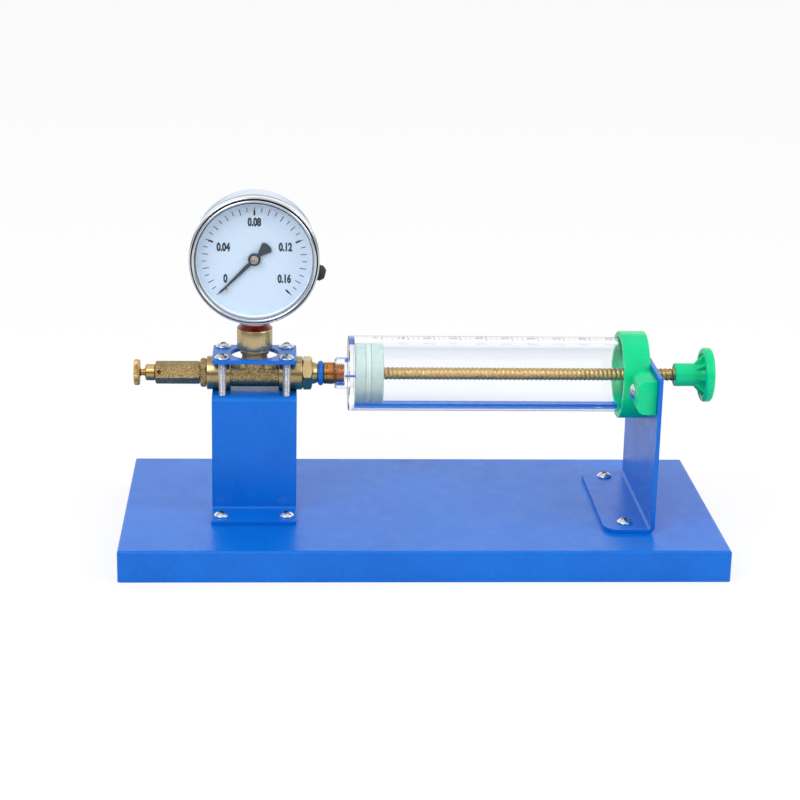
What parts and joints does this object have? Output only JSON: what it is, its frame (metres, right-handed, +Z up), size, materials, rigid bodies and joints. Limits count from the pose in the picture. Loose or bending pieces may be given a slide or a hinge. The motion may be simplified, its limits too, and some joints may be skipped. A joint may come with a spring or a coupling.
{
  "type": "boyles law apparatus",
  "caption": "Clear graduated cylinder with a screw-driven piston, joined to a brass tee with a dial pressure gauge and a bleed valve, on a folded steel base.",
  "frame": {"origin": "centre of the base's underside", "axes": "+X from the bleed valve to the knob along the cylinder, +Y to the back, +Z up; the dial faces -Y"},
  "size_m": [0.3, 0.14, 0.1795],
  "materials": {
    "blue_paint": "textured semi-gloss powder coat",
    "zinc_steel": "bright zinc plate",
    "cast_brass": "as cast and rough turned",
    "turned_brass": "bright turned",
    "spring_bronze": "satin",
    "copper": "bright turned",
    "clear_acrylic": "clear, polished",
    "piston_plastic": "translucent, smooth",
    "seal_rubber": "smooth silicone",
    "black_rubber": "moulded",
    "green_plastic": "glossy moulded",
    "blue_nylon": "moulded",
    "red_fibre": "pressed",
    "case_steel": "satin plated",
    "chrome": "polished",
    "window_glass": "clear",
    "dial_white": "matt printed",
    "pointer_black": "matt",
    "pointer_metal": "turned"
  },
  "bodies": {
    "stand": {"base_pan": "blue_paint", "gauge_bracket": "blue_paint", "clamp_plate": "blue_paint", "barrel_bracket": "blue_paint", "foot_screws": "zinc_steel", "foot_nuts": "zinc_steel", "clamp_screws": "zinc_steel", "collar_screws": "zinc_steel", "case_screws": "zinc_steel", "movement_screws": "zinc_steel", "tee_fitting": "cast_brass", "outlet_connector": "cast_brass", "valve_body": "cast_brass", "valve_lock_nut": "cast_brass", "gauge_stem": "cast_brass", "valve_gland": "turned_brass", "feed_nut": "turned_brass", "movement_frame": "turned_brass", "tube_tip": "turned_brass", "bourdon_tube": "spring_bronze", "hairspring": "spring_bronze", "copper_sleeve": "copper", "barrel_tube": "clear_acrylic", "barrel_end": "clear_acrylic", "relief_plug": "black_rubber", "end_collar": "green_plastic", "sealing_ring": "blue_nylon", "gauge_washer": "red_fibre", "gauge_case": "case_steel", "gauge_bezel": "chrome", "gauge_window": "window_glass", "gauge_dial": "dial_white", "dial_ring": "dial_white", "zero_pin": "pointer_metal"},
    "piston": {"piston": "piston_plastic", "piston_seal": "seal_rubber", "piston_retainer": "piston_plastic"},
    "screw": {"screw_rod": "turned_brass", "knob": "green_plastic"},
    "valve_pad": {"valve_seat": "black_rubber"},
    "spindle": {"valve_spindle": "turned_brass"},
    "pointer": {"pinion": "turned_brass", "pointer": "pointer_black", "pointer_cap": "pointer_metal"},
    "sector": {"sector_gear": "turned_brass"},
    "link": {"link": "zinc_steel"}
  },
  "joints": [
    {"name": "piston_slide", "type": "slide", "parent": "stand", "child": "piston", "axis": [1, 0, 0], "range_m": [0, 0.11924]},
    {"name": "screw_turn", "type": "hinge", "parent": "piston", "child": "screw", "pos_m": [0, 0, 0.0855], "axis": [1, 0, 0], "range_deg": [0, 19079]},
    {"name": "valve_lift", "type": "slide", "parent": "stand", "child": "valve_pad", "axis": [-1, 0, 0], "range_m": [0, 0.003]},
    {"name": "valve_turn", "type": "hinge", "parent": "valve_pad", "child": "spindle", "pos_m": [-0.14, 0, 0.0855], "axis": [-1, 0, 0], "range_deg": [0, 1080]},
    {"name": "pointer_turn", "type": "hinge", "parent": "stand", "child": "pointer", "pos_m": [-0.0845, -0.01, 0.1475], "axis": [0, 1, 0], "range_deg": [0, 270], "stiffness_Nm_per_rad": 0.0001, "springref_deg": -22.92},
    {"name": "sector_turn", "type": "hinge", "parent": "stand", "child": "sector", "pos_m": [-0.0845, -0.0066, 0.134], "axis": [0, 1, 0], "range_deg": [-34, 0]},
    {"name": "link_turn", "type": "hinge", "parent": "sector", "child": "link", "pos_m": [-0.08103, -0.0053, 0.12973], "axis": [0, 1, 0], "range_deg": [0, 34]}
  ],
  "couplings": [
    {"joint": "screw_turn", "follows": "piston_slide", "rad_per_m": 2792.5},
    {"joint": "valve_turn", "follows": "valve_lift", "rad_per_m": 6283.2},
    {"joint": "sector_turn", "follows": "pointer_turn", "ratio": -0.125},
    {"joint": "link_turn", "follows": "pointer_turn", "ratio": 0.125}
  ]
}
